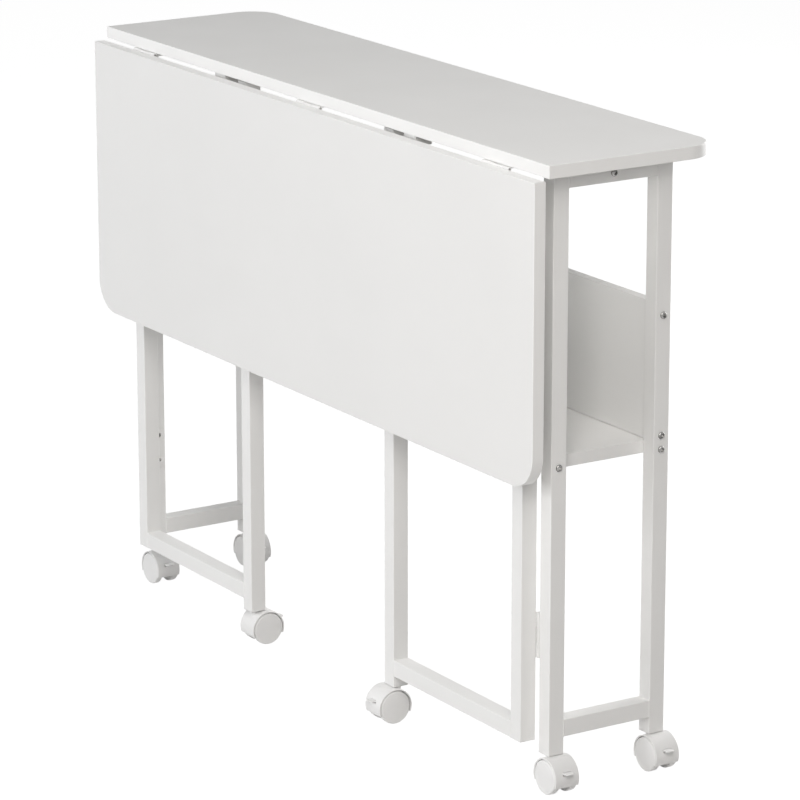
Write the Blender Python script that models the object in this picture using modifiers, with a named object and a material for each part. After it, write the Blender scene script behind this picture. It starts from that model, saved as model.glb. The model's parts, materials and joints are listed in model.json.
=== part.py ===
"""Folding desk on casters: a narrow fixed top, a drop leaf, a shelf and two swing-out gates. Metres, +Z up.

X runs along the desk, Y from the leaf to the rear and Z up from the floor. The origin is on the floor,
under the middle of the folded desk's box. The desk is shown folded: the leaf hangs and the gates lie flat
behind it.
"""
import math

import bmesh
import bpy
from mathutils import Matrix, Vector

# Boards
DESK_LENGTH = 1.000
TOP_DEPTH = 0.230
TOP_HEIGHT = 0.737
BOARD = 0.015
CORNER_RADIUS = 0.040
CORNER_STEPS = 8
LEAF_LENGTH = 0.998
LEAF_DEPTH = 0.350
LEAF_GAP = 0.0012
SHELF_TOP = 0.391
PANEL_TOP = 0.554
PANEL_THICKNESS = 0.012

# Square tube and frames
TUBE = 0.0205
TUBE_WALL = 0.0012
END_FRAME_OUTER_X = 0.47025
FRONT_POST_SETBACK = 0.02665
FRAME_DEPTH = 0.1605
POST_FOOT = 0.0442
END_RAIL_FOOT = 0.0640
GATE_RAIL_FOOT = 0.0575
GATE_RAIL_HEAD = 0.706
GATE_FREE_POST_HEAD = 0.7196
GATE_FREE_POST_INNER_X = 0.15625
BEAM_END_WALL = 0.003

# Hinges, all of one size: two plates that lie on the hinged faces, three knuckles and a pin
HINGE_LENGTH = 0.054
HINGE_PLATE = 0.0012
HINGE_PLATE_REACH = 0.018
HINGE_AXIS_TO_FACE = 0.0025
KNUCKLE_RADIUS = 0.0021
HINGE_PIN_RADIUS = 0.0011
HINGE_BORE_RADIUS = 0.0013
KNUCKLE_SIDES = 12
KNUCKLE_CLEARANCE = 0.0005
LEAF_AXIS_SETBACK = 0.0013
LEAF_HINGE_X = 0.398
GATE_AXIS_BEHIND_POST_FRONT = 0.0009
GATE_POST_TO_AXIS = 0.0019
GATE_HINGE_HEIGHTS = {"lower": 0.183, "upper": 0.577}

# Screws with domed heads
SCREW_HEAD_RADIUS = 0.0042
SCREW_HEAD_HEIGHT = 0.0024
SCREW_RADIUS = 0.0020
SCREW_HOLE_RADIUS = 0.0023
SCREW_GRIP = 0.024
SCREW_SIDES = 12
SCREW_DOME_STEPS = 3
SCREW_TIP_ROOM = 0.003
PANEL_SCREW_LOW_INSET = 0.009
PANEL_SCREW_HIGH_INSET = 0.0138

# Catches under the top
CATCH_INNER_X = 0.203
CATCH_LENGTH = 0.025
CATCH_DEPTH = 0.023
CATCH_HEIGHT = 0.012
CATCH_SETBACK = 0.002

# Casters, drawn with the stem's axis on Z and the axle behind it on +X
WHEEL_RADIUS = 0.0202
WHEEL_INNER_FACE = 0.0074
WHEEL_OUTER_FACE = 0.0170
WHEEL_SIDES = 24
WHEEL_ROUNDING = 0.0018
DISC_CROWN = 0.0006
AXLE_RADIUS = 0.0025
AXLE_BORE_RADIUS = 0.0027
TRAIL = 0.011
HOOD_RADIUS = 0.0229
HOOD_HALF_WIDTH = 0.0162
HOOD_SIDES = 28
HOOD_HEAD = 0.0431
HOOD_FOOT = 0.0120
WEB_HALF_WIDTH = 0.0070
WHEEL_CLEARANCE = 0.0008
COLLAR_RADIUS = 0.0055
COLLAR_FOOT = 0.028
STEM_RADIUS = 0.0039
STEM_BORE_RADIUS = 0.0042
STEM_FOOT = 0.0198
STEM_BORE_FOOT = 0.0195
STEM_FLANGE = 0.0004
PLUG_LENGTH = 0.025
BRAKE_PIVOT = 0.0145
BRAKE_RISE = 0.0085
BRAKE_BOSS_RADIUS = 0.0020
BRAKE_THICKNESS = 0.0024
BRAKE_HALF_WIDTH = 0.0055
BRAKE_REACH = 0.0290
BRAKE_DROP = 0.0033
BRAKE_SIDE_ROOM = 0.0004

# Clearance between touching pieces, the reach of an open-ended cutter, and how meshes are finished
GAP = 0.0003
LONG = 0.2
WELD_DISTANCE = 0.000001
SHARP_ANGLE = math.radians(35)

# Places that follow from the sizes above. FRONT_EDGE is the Y of the top's front edge.
GATE_AXIS_Y = FRONT_POST_SETBACK + GATE_AXIS_BEHIND_POST_FRONT
GATE_MIDDLE_Y = GATE_AXIS_Y - HINGE_AXIS_TO_FACE - TUBE / 2
FRONT_REACH = TRAIL + BRAKE_REACH - GATE_MIDDLE_Y
FRONT_EDGE = (FRONT_REACH - TOP_DEPTH) / 2
UNDERSIDE = TOP_HEIGHT - BOARD
END_FRAME_INNER_X = END_FRAME_OUTER_X - TUBE
POST_MIDDLE_X = END_FRAME_OUTER_X - TUBE / 2
FRONT_POST_Y = FRONT_EDGE + FRONT_POST_SETBACK
REAR_POST_Y = FRONT_POST_Y + FRAME_DEPTH - TUBE
FRAME_MIDDLE_Y = FRONT_POST_Y + FRAME_DEPTH / 2
GATE_AXIS_X = END_FRAME_INNER_X - HINGE_AXIS_TO_FACE
LEAF_AXIS = Vector((0, FRONT_EDGE - LEAF_AXIS_SETBACK, UNDERSIDE - HINGE_AXIS_TO_FACE))
SHELF_MIDDLE_Z = SHELF_TOP - BOARD / 2
RIGHT, LEFT = 1, -1
SIDES = {"right": RIGHT, "left": LEFT}

# Turns a flat outline upright: into the XZ plane, and from there into the YZ plane
UPRIGHT = Matrix.Rotation(math.pi / 2, 4, "X")
CROSSWISE = Matrix.Rotation(math.pi / 2, 4, "Z") @ UPRIGHT


def clear_scene():
    for obj in list(bpy.data.objects):
        bpy.data.objects.remove(obj, do_unlink=True)


def new_collection(name):
    collection = bpy.data.collections.new(name)
    bpy.context.scene.collection.children.link(collection)
    return collection


def new_material(name, color, roughness, metallic=0.0):
    material = bpy.data.materials.new(name)
    material.use_nodes = True
    shader = material.node_tree.nodes["Principled BSDF"]
    shader.inputs["Base Color"].default_value = (*color, 1.0)
    shader.inputs["Roughness"].default_value = roughness
    shader.inputs["Metallic"].default_value = metallic
    return material


clear_scene()
PARTS = new_collection("folding_desk")
WORKSHOP = new_collection("cutters")
MELAMINE = new_material("white_melamine", (0.80, 0.80, 0.79), 0.45)
POWDER_COAT = new_material("white_powder_coat", (0.78, 0.78, 0.77), 0.40)
WHITE_PLASTIC = new_material("white_plastic", (0.78, 0.78, 0.76), 0.35)
CHROME = new_material("chrome", (0.72, 0.72, 0.73), 0.15, 1.0)


def mesh_object(name, bm):
    """A workshop object that holds a bmesh, hidden from renders like any cutter."""
    mesh = bpy.data.meshes.new(name)
    bm.to_mesh(mesh)
    bm.free()
    obj = bpy.data.objects.new(name, mesh)
    obj.hide_render = True
    obj.display_type = "WIRE"
    WORKSHOP.objects.link(obj)
    return obj


def box(low, high):
    """A box between two corners, given in any order."""
    low, high = Vector(low), Vector(high)
    size = [abs(a - b) for a, b in zip(low, high)]
    bm = bmesh.new()
    bmesh.ops.create_cube(bm, size=1.0, matrix=Matrix.LocRotScale((low + high) / 2, None, size))
    return mesh_object("box", bm)


def cylinder(radius, start, end, sides):
    """A closed cylinder from one point on its axis to another."""
    start, end = Vector(start), Vector(end)
    turn = (end - start).to_track_quat("Z", "Y")
    bm = bmesh.new()
    bmesh.ops.create_cone(
        bm, cap_ends=True, segments=sides, radius1=radius, radius2=radius, depth=(end - start).length,
        matrix=Matrix.LocRotScale((start + end) / 2, turn, None))
    return mesh_object("cylinder", bm)


def baked(obj):
    """The object's evaluated shape as a mesh with its caps welded. The object itself is removed."""
    evaluated = obj.evaluated_get(bpy.context.evaluated_depsgraph_get())
    mesh = bpy.data.meshes.new_from_object(evaluated)
    bpy.data.objects.remove(obj, do_unlink=True)
    bm = bmesh.new()
    bm.from_mesh(mesh)
    bmesh.ops.remove_doubles(bm, verts=bm.verts, dist=WELD_DISTANCE)
    bm.to_mesh(mesh)
    bm.free()
    return mesh


def shaped(base, joined=(), cut=()):
    """The mesh of a base object with other objects joined to it and then cut from it."""
    for operation, tools in (("UNION", joined), ("DIFFERENCE", cut)):
        for tool in tools:
            modifier = base.modifiers.new(operation, "BOOLEAN")
            modifier.operation = operation
            modifier.solver = "EXACT"
            modifier.object = tool
    mesh = baked(base)
    for tool in (*joined, *cut):
        bpy.data.objects.remove(tool, do_unlink=True)
    return mesh


def turned(profile, sides):
    """The mesh of a profile of (radius, height) points, listed top to bottom, turned about Z."""
    bm = bmesh.new()
    verts = [bm.verts.new((radius, 0, height)) for radius, height in profile]
    for upper, lower in zip(verts, verts[1:]):
        bm.edges.new((upper, lower))
    obj = mesh_object("profile", bm)
    screw = obj.modifiers.new("Turn", "SCREW")
    screw.steps = sides
    screw.render_steps = sides
    screw.use_merge_vertices = True
    screw.merge_threshold = WELD_DISTANCE
    return baked(obj)


def slab(outlines, thickness, matrix):
    """A workshop object extruded evenly both ways from closed flat outlines, and moved by a matrix."""
    curve = bpy.data.curves.new("outline", "CURVE")
    curve.dimensions = "2D"
    curve.fill_mode = "BOTH"
    curve.extrude = thickness / 2
    for outline in outlines:
        spline = curve.splines.new("POLY")
        spline.points.add(len(outline) - 1)
        for point, (x, y) in zip(spline.points, outline):
            point.co = (x, y, 0, 1)
        spline.use_cyclic_u = True
    flat = bpy.data.objects.new("outline", curve)
    WORKSHOP.objects.link(flat)
    bm = bmesh.new()
    bm.from_mesh(baked(flat))
    bmesh.ops.transform(bm, matrix=matrix, verts=bm.verts)
    bmesh.ops.recalc_face_normals(bm, faces=bm.faces)
    return mesh_object("slab", bm)


def rectangle(low, high):
    return [low, (high[0], low[1]), high, (low[0], high[1])]


def board_outline(half_length, near, far):
    """A board's outline with square corners at near and rounded corners at far."""
    radius = CORNER_RADIUS
    center_x = half_length - radius
    center_y = far - math.copysign(radius, far - near)
    outline = [(-half_length, near), (half_length, near)]
    for side in (RIGHT, LEFT):
        for step in range(CORNER_STEPS + 1):
            angle = math.pi / 2 * step / CORNER_STEPS
            along = angle if side == RIGHT else math.pi / 2 - angle
            x = center_x + radius * math.cos(along)
            y = center_y + math.copysign(radius * math.sin(along), far - near)
            outline.append((side * x, y))
    return outline


def empty(name, location, parent=None, turn=0.0):
    """An empty on a joint's axis, which the pieces that move on it hang from."""
    obj = bpy.data.objects.new(name, None)
    obj.location = location
    obj.rotation_euler.z = turn
    obj.parent = parent
    PARTS.objects.link(obj)
    return obj


def add_part(name, mesh, material, location=(0, 0, 0), parent=None, rotation=(0, 0, 0), smooth=False):
    """A finished piece: its mesh, its material and its place."""
    obj = bpy.data.objects.new(name, mesh)
    obj.location = location
    obj.rotation_euler = rotation
    obj.parent = parent
    PARTS.objects.link(obj)
    if not mesh.materials:
        mesh.materials.append(material)
    if smooth:
        mesh.shade_smooth()
        mesh.set_sharp_from_angle(angle=SHARP_ANGLE)
    return obj


def screw_places():
    """(name, y, z) of the five screws in one end frame: in the top rail, the shelf and the back panel."""
    front, rear = FRONT_POST_Y + TUBE / 2, REAR_POST_Y + TUBE / 2
    return [
        ("top_rail", FRAME_MIDDLE_Y, UNDERSIDE - TUBE / 2),
        ("shelf_front", front, SHELF_MIDDLE_Z),
        ("shelf_rear", rear, SHELF_MIDDLE_Z),
        ("panel_low", rear, SHELF_TOP + PANEL_SCREW_LOW_INSET),
        ("panel_high", rear, PANEL_TOP - PANEL_SCREW_HIGH_INSET),
    ]


def screw_holes(side, names):
    """Cutters along X for the named screws on one side, from outside the frame to past the screw's tip."""
    tip = END_FRAME_INNER_X - SCREW_GRIP - SCREW_TIP_ROOM
    return [
        cylinder(SCREW_HOLE_RADIUS, (side * tip, y, z), (side * DESK_LENGTH, y, z), SCREW_SIDES)
        for name, y, z in screw_places() if name in names
    ]


def both_sides(names):
    return screw_holes(RIGHT, names) + screw_holes(LEFT, names)


def make_boards():
    """The fixed top, the leaf on its hinge line, the shelf and the back panel."""
    top = slab([board_outline(DESK_LENGTH / 2, FRONT_EDGE, FRONT_EDGE + TOP_DEPTH)], BOARD,
               Matrix.Translation((0, 0, TOP_HEIGHT - BOARD / 2)))
    add_part("fixed_top", baked(top), MELAMINE)

    leaf_axis = empty("leaf_axis", LEAF_AXIS)
    upper_edge = LEAF_AXIS_SETBACK - LEAF_GAP
    outline = board_outline(LEAF_LENGTH / 2, upper_edge, upper_edge - LEAF_DEPTH)
    hang = Matrix.Translation((0, -HINGE_AXIS_TO_FACE - BOARD / 2, 0)) @ UPRIGHT
    add_part("drop_leaf", baked(slab([outline], BOARD, hang)), MELAMINE, parent=leaf_axis)

    half = END_FRAME_INNER_X - GAP
    shelf = box((-half, FRONT_POST_Y, SHELF_TOP - BOARD), (half, REAR_POST_Y + TUBE, SHELF_TOP))
    add_part("shelf", shaped(shelf, cut=both_sides(("shelf_front", "shelf_rear"))), MELAMINE)
    panel_y = REAR_POST_Y + TUBE / 2
    panel = box((-half, panel_y - PANEL_THICKNESS / 2, SHELF_TOP + GAP),
                (half, panel_y + PANEL_THICKNESS / 2, PANEL_TOP))
    add_part("back_panel", shaped(panel, cut=both_sides(("panel_low", "panel_high"))), MELAMINE)
    return leaf_axis


def end_frame_outlines(inset):
    """The end frame's edge and opening in (y, z), drawn in by an inset all round the tube."""
    front, rear = FRONT_POST_Y + inset, FRONT_POST_Y + FRAME_DEPTH - inset
    tube = TUBE - 2 * inset
    foot = POST_FOOT if inset == 0 else POST_FOOT - LONG
    head = UNDERSIDE - GAP - inset
    rail = END_RAIL_FOOT + inset
    edge = [(front, foot), (front + tube, foot), (front + tube, rail), (rear - tube, rail),
            (rear - tube, foot), (rear, foot), (rear, head), (front, head)]
    return [edge, rectangle((front + tube, rail + tube), (rear - tube, head - tube))]


def make_end_frame(name, side):
    """A welded frame of two posts and two rails, hollow and open at the feet."""
    stand = Matrix.Translation((side * POST_MIDDLE_X, 0, 0)) @ CROSSWISE
    hollow = slab(end_frame_outlines(TUBE_WALL), TUBE - 2 * TUBE_WALL, stand)
    holes = screw_holes(side, [place[0] for place in screw_places()])
    frame = shaped(slab(end_frame_outlines(0), TUBE, stand), cut=[hollow, *holes])
    add_part(f"{name}_end_frame", frame, POWDER_COAT)


def make_top_beam():
    """A square tube along the underside of the top, with end plates that the top rails are screwed to."""
    half, y, head = END_FRAME_INNER_X - GAP, FRAME_MIDDLE_Y, UNDERSIDE - GAP
    beam = box((-half, y - TUBE / 2, head - TUBE), (half, y + TUBE / 2, head))
    hollow = box((-half + BEAM_END_WALL, y - TUBE / 2 + TUBE_WALL, head - TUBE + TUBE_WALL),
                 (half - BEAM_END_WALL, y + TUBE / 2 - TUBE_WALL, head - TUBE_WALL))
    add_part("top_beam", shaped(beam, cut=[hollow, *both_sides(("top_rail",))]), POWDER_COAT)


def make_screws(name, side):
    """The five screws of one end frame: a domed head outside the tube and a pointed shank through it."""
    grip = TUBE + SCREW_GRIP
    angles = [math.pi / 2 * step / SCREW_DOME_STEPS for step in range(SCREW_DOME_STEPS)]
    dome = [(SCREW_HEAD_RADIUS * math.sin(angle), SCREW_HEAD_HEIGHT * math.cos(angle)) for angle in angles]
    mesh = turned([
        *dome, (SCREW_HEAD_RADIUS, 0), (SCREW_RADIUS, 0), (SCREW_RADIUS, -grip + SCREW_RADIUS), (0, -grip)],
        SCREW_SIDES)
    for place, y, z in screw_places():
        add_part(f"{name}_screw_{place}", mesh, CHROME, (side * (END_FRAME_OUTER_X + GAP), y, z),
                 rotation=(0, side * math.pi / 2, 0), smooth=True)


def gate_outlines(side, inset):
    """A gate's outlines in (x, z) from its hinge axis: hinge post, free post with a foot, and two rails."""
    tube = TUBE - 2 * inset
    hinged = GATE_POST_TO_AXIS + inset
    free = GATE_AXIS_X - GATE_FREE_POST_INNER_X - inset
    foot = POST_FOOT if inset == 0 else POST_FOOT - LONG
    low, high = GATE_RAIL_FOOT + inset, GATE_RAIL_HEAD - inset
    head = GATE_FREE_POST_HEAD - inset
    edge = [(hinged, low), (free - tube, low), (free - tube, foot), (free, foot), (free, head),
            (free - tube, head), (free - tube, high), (hinged, high)]
    opening = rectangle((hinged + tube, low + tube), (free - tube, high - tube))
    return [[(-side * x, z) for x, z in outline] for outline in (edge, opening)]


def make_gate(name, side):
    """A welded gate on the empty of its hinge axis, hollow and open at the free post's foot."""
    axis = empty(f"{name}_gate_axis", (side * GATE_AXIS_X, FRONT_EDGE + GATE_AXIS_Y, 0))
    stand = Matrix.Translation((0, -HINGE_AXIS_TO_FACE - TUBE / 2, 0)) @ UPRIGHT
    hollow = slab(gate_outlines(side, TUBE_WALL), TUBE - 2 * TUBE_WALL, stand)
    mesh = shaped(slab(gate_outlines(side, 0), TUBE, stand), cut=[hollow])
    add_part(f"{name}_gate", mesh, POWDER_COAT, parent=axis)
    return axis


def hinge_meshes():
    """The two halves of a hinge with its pin along Z.

    The fixed half lies on a face at +X and reaches to +Y. The swinging half lies on a face at -Y and reaches
    to -X. It turns on the fixed half's pin.
    """
    end = HINGE_LENGTH / 2
    third = HINGE_LENGTH / 6
    near = HINGE_AXIS_TO_FACE - GAP
    far = near - HINGE_PLATE
    notch = KNUCKLE_RADIUS + KNUCKLE_CLEARANCE
    fixed = box((far, notch, -end), (near, HINGE_PLATE_REACH, end))
    fixed_parts = [cylinder(HINGE_PIN_RADIUS, (0, 0, -end), (0, 0, end), KNUCKLE_SIDES)]
    for sign in (1, -1):
        inner, outer = sign * (third + GAP), sign * end
        fixed_parts.append(box((far, 0, inner), (near, notch + GAP, outer)))
        fixed_parts.append(cylinder(KNUCKLE_RADIUS, (0, 0, inner), (0, 0, outer), KNUCKLE_SIDES))
    swinging = box((-HINGE_PLATE_REACH, -near, -end), (-notch, -far, end))
    swinging_parts = [
        box((-notch - GAP, -near, -third), (0, -far, third)),
        cylinder(KNUCKLE_RADIUS, (0, 0, -third), (0, 0, third), KNUCKLE_SIDES)]
    bore = cylinder(HINGE_BORE_RADIUS, (0, 0, -end), (0, 0, end), KNUCKLE_SIDES)
    return shaped(fixed, fixed_parts), shaped(swinging, swinging_parts, [bore])


def make_hinges(leaf_axis, gate_axes):
    """Three hinges along the leaf and two on each gate.

    A half turn about Y mirrors a gate's hinge to the left.
    """
    fixed, swinging = hinge_meshes()
    along_leaf = (0, -math.pi / 2, 0)
    for place, x in (("left", -LEAF_HINGE_X), ("middle", 0), ("right", LEAF_HINGE_X)):
        add_part(f"leaf_hinge_{place}_top_plate", fixed, POWDER_COAT, LEAF_AXIS + Vector((x, 0, 0)),
                 rotation=along_leaf)
        add_part(f"leaf_hinge_{place}_leaf_plate", swinging, POWDER_COAT, (x, 0, 0), leaf_axis, along_leaf)
    for name, side in SIDES.items():
        upright = (0, 0 if side == RIGHT else math.pi, 0)
        for level, height in GATE_HINGE_HEIGHTS.items():
            lift = Vector((0, 0, height))
            add_part(f"{name}_gate_hinge_{level}_post_plate", fixed, POWDER_COAT,
                     gate_axes[name].location + lift, rotation=upright)
            add_part(f"{name}_gate_hinge_{level}_gate_plate", swinging, POWDER_COAT, lift, gate_axes[name],
                     upright)


def make_catch(name, side):
    """A catch under the front edge of the top, above the gate's upper rail."""
    near, head = FRONT_EDGE + CATCH_SETBACK, UNDERSIDE - GAP
    block = box((side * CATCH_INNER_X, near, head - CATCH_HEIGHT),
                (side * (CATCH_INNER_X + CATCH_LENGTH), near + CATCH_DEPTH, head))
    add_part(f"{name}_gate_catch", baked(block), WHITE_PLASTIC)


def hood_mesh():
    """A barrel over two wheels, open below, with a web between them for the stem, axle and brake."""
    wide = HOOD_HALF_WIDTH
    axle = Vector((TRAIL, 0, WHEEL_RADIUS))
    across = Vector((0, 1, 0))
    barrel = cylinder(HOOD_RADIUS, axle - across * wide, axle + across * wide, HOOD_SIDES)
    collar = cylinder(COLLAR_RADIUS, (0, 0, COLLAR_FOOT), (0, 0, HOOD_HEAD), HOOD_SIDES)
    cavity = WHEEL_RADIUS + WHEEL_CLEARANCE
    cuts = [
        cylinder(cavity, axle + across * side * WEB_HALF_WIDTH, axle + across * side * LONG, HOOD_SIDES)
        for side in (RIGHT, LEFT)]
    cuts.append(box((-LONG, -LONG, -LONG), (LONG, LONG, HOOD_FOOT)))
    cuts.append(cylinder(AXLE_BORE_RADIUS, axle - across * LONG, axle + across * LONG, SCREW_SIDES))
    cuts.append(cylinder(STEM_BORE_RADIUS, (0, 0, STEM_BORE_FOOT), (0, 0, LONG), SCREW_SIDES))
    pocket = BRAKE_HALF_WIDTH + BRAKE_SIDE_ROOM
    pivot = axle + Vector((BRAKE_PIVOT, 0, BRAKE_RISE))
    cuts.append(box((pivot.x - BRAKE_BOSS_RADIUS - GAP, -pocket, pivot.z - BRAKE_DROP),
                    (LONG, pocket, pivot.z + BRAKE_BOSS_RADIUS + GAP)))
    return shaped(barrel, [collar], cuts)


def wheels_mesh():
    """Two wheels on one axle, turned about Z."""
    shoulder = WHEEL_RADIUS - WHEEL_ROUNDING
    rim = [
        (0, WHEEL_OUTER_FACE),
        (shoulder, WHEEL_OUTER_FACE - DISC_CROWN),
        (WHEEL_RADIUS, WHEEL_OUTER_FACE - DISC_CROWN - WHEEL_ROUNDING),
        (WHEEL_RADIUS, WHEEL_INNER_FACE + WHEEL_ROUNDING),
        (shoulder, WHEEL_INNER_FACE),
        (AXLE_RADIUS, WHEEL_INNER_FACE)]
    return turned(rim + [(radius, -height) for radius, height in reversed(rim)], WHEEL_SIDES)


def stem_mesh():
    """A stem with a flange under the tube's end and a square plug inside the tube."""
    flange_head = POST_FOOT - GAP
    half = TUBE / 2
    flange = box((-half, -half, flange_head - STEM_FLANGE), (half, half, flange_head))
    inside = half - TUBE_WALL - GAP
    plug = box((-inside, -inside, flange_head - STEM_FLANGE / 2), (inside, inside, POST_FOOT + PLUG_LENGTH))
    shaft = cylinder(STEM_RADIUS, (0, 0, STEM_FOOT), (0, 0, POST_FOOT), SCREW_SIDES)
    return shaped(flange, [plug, shaft])


def brake_mesh():
    """A brake lever with its pivot along Y and its tab to +X."""
    wide, thick = BRAKE_HALF_WIDTH, BRAKE_THICKNESS / 2
    boss = cylinder(BRAKE_BOSS_RADIUS, (0, -wide, 0), (0, wide, 0), SCREW_SIDES)
    arm = box((0, -wide, -thick), (BRAKE_REACH - BRAKE_PIVOT, wide, thick))
    return shaped(boss, [arm])


def make_casters(gate_axes):
    """Six casters. Each swivels on an empty on its stem's axis, turned the way it trails."""
    hood, wheels, stem, brake = hood_mesh(), wheels_mesh(), stem_mesh(), brake_mesh()
    places = {}
    for name, side in SIDES.items():
        x = side * POST_MIDDLE_X
        places[f"{name}_front"] = (x, FRONT_POST_Y + TUBE / 2, None, 0.0)
        places[f"{name}_rear"] = (x, REAR_POST_Y + TUBE / 2, None, 0.0)
        free_post = -side * (GATE_AXIS_X - GATE_FREE_POST_INNER_X - TUBE / 2)
        trail_turn = -side * math.pi / 2
        places[f"{name}_gate"] = (free_post, -HINGE_AXIS_TO_FACE - TUBE / 2, gate_axes[name], trail_turn)
    for place, (x, y, parent, turn) in places.items():
        swivel = empty(f"caster_{place}_swivel", (x, y, 0), parent, turn)
        add_part(f"caster_{place}_stem", stem, WHITE_PLASTIC, (x, y, 0), parent)
        add_part(f"caster_{place}_hood", hood, WHITE_PLASTIC, parent=swivel, smooth=True)
        add_part(f"caster_{place}_wheels", wheels, WHITE_PLASTIC, (TRAIL, 0, WHEEL_RADIUS), swivel,
                 (math.pi / 2, 0, 0), smooth=True)
        add_part(f"caster_{place}_brake", brake, WHITE_PLASTIC,
                 (TRAIL + BRAKE_PIVOT, 0, WHEEL_RADIUS + BRAKE_RISE), swivel)


def main():
    leaf_axis = make_boards()
    gate_axes = {}
    for name, side in SIDES.items():
        make_end_frame(name, side)
        make_screws(name, side)
        make_catch(name, side)
        gate_axes[name] = make_gate(name, side)
    make_top_beam()
    make_hinges(leaf_axis, gate_axes)
    make_casters(gate_axes)


main()
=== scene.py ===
# %% [markdown]
# # A rolling desk that folds flat
# The desk has a narrow fixed top, a leaf that hangs from it on three hinges, two welded end frames
# with a shelf and a back panel between them, two gates that swing out under the raised leaf, and
# six casters. The frame loaded here holds every part as a plain solid at its true size and in its
# place. This lesson models the finished shape of each part over its solid: rounded arrises, edge
# bands, weld beads, countersunk screws and moulded casters.

# %% Load the frame and its joints
import json
import math

import bpy
from mathutils import Matrix, Vector


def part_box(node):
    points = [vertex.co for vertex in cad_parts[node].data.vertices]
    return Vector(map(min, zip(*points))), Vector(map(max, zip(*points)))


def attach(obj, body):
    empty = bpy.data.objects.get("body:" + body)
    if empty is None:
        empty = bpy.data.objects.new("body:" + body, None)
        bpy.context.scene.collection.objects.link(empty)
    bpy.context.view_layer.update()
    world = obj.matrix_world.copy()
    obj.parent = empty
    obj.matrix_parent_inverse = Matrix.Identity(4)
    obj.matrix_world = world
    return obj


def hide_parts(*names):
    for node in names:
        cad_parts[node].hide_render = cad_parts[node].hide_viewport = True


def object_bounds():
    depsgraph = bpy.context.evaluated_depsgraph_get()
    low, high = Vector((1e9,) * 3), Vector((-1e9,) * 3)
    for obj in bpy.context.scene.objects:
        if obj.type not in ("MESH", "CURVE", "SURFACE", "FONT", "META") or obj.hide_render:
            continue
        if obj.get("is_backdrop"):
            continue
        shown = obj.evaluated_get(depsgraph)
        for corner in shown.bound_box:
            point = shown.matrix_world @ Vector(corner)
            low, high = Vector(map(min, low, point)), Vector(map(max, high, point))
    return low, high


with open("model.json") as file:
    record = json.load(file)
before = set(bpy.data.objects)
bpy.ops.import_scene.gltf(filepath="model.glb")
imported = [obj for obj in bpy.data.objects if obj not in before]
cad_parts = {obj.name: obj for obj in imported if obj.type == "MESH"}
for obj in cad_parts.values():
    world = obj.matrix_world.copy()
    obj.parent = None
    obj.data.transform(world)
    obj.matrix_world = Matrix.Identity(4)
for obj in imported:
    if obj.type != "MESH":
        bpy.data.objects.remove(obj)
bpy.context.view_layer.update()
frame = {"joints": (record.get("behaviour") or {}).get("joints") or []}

# %% [markdown]
# ## The view
# The desk is seen from its right front corner and a little from above. The camera stands far off
# with a long lens, so the long edges of the desk run almost parallel in the picture. The lens is
# shifted a little, because the middle of the picture isn't quite where the camera points.

# %% Camera
CAMERA_PLACE = (4.078, -2.5664, 1.6768)
CAMERA_YAW = 1.00303
CAMERA_DIP = 0.26885
CAMERA_LENS = 184.8
CAMERA_SHIFT = (-0.0096, -0.0064)

bpy.ops.object.camera_add(location=CAMERA_PLACE, rotation=(math.pi / 2 - CAMERA_DIP, 0, CAMERA_YAW))
camera = bpy.context.object
camera.name = "camera"
camera.data.lens = CAMERA_LENS
camera.data.shift_x, camera.data.shift_y = CAMERA_SHIFT
bpy.context.scene.camera = camera
bpy.context.scene.view_settings.view_transform = "Standard"
print("camera", round(Vector(CAMERA_PLACE).length, 2), "m from the desk's foot, lens", CAMERA_LENS, "mm")

# %% [markdown]
# ## The studio
# White furniture needs light that is soft but not the same from every side, or its edges vanish.
# Two soft boxes in front light the leaf evenly, two at the right light the end frame and reach the
# shelf through it, and a weak one hangs overhead. The light from the front is a little cool and
# that from the right a little warm, which keeps the white faces apart. A wide box behind the desk
# shines in above the back panel and bounces off the inner face of the leaf, so the shelf isn't a
# dark hole. The world and the floor are seen as white, but light the desk less than they seem to: a
# light path node tells a ray from the camera or a mirror apart from the rays that carry light.

# %% Node helpers
def add_node(tree, kind, inputs=None, **settings):
    """Adds a node, sets its options and the values or links of its input sockets."""
    made = tree.nodes.new(kind)
    for name, value in settings.items():
        setattr(made, name, value)
    for name, value in (inputs or {}).items():
        if isinstance(value, bpy.types.NodeSocket):
            tree.links.new(value, made.inputs[name])
        else:
            made.inputs[name].default_value = value
    return made


def seen_directly(tree):
    """Gives 1 for rays from the camera, a mirror or through glass, and 0 for rays that carry light."""
    path = add_node(tree, "ShaderNodeLightPath").outputs
    mirror = {0: path["Is Camera Ray"], 1: path["Is Glossy Ray"]}
    either = add_node(tree, "ShaderNodeMath", mirror, operation="MAXIMUM").outputs[0]
    glass = {0: either, 1: path["Is Transmission Ray"]}
    return add_node(tree, "ShaderNodeMath", glass, operation="MAXIMUM").outputs[0]


# %% World: white to look at, dimmer as a light
WORLD_LIGHT = 0.05

world = bpy.data.worlds.new("studio")
world.use_nodes = True
bpy.context.scene.world = world
tree = world.node_tree
tree.nodes.clear()
dim = add_node(tree, "ShaderNodeBackground", {"Color": (1.0, 1.0, 1.0, 1.0), "Strength": WORLD_LIGHT})
white = add_node(tree, "ShaderNodeBackground", {"Color": (1.0, 1.0, 1.0, 1.0), "Strength": 1.0})
sides = {"Fac": seen_directly(tree), 1: dim.outputs[0], 2: white.outputs[0]}
sky = add_node(tree, "ShaderNodeMixShader", sides)
add_node(tree, "ShaderNodeOutputWorld", {"Surface": sky.outputs[0]})
print("world lights with", WORLD_LIGHT, "and is seen as white")

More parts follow.
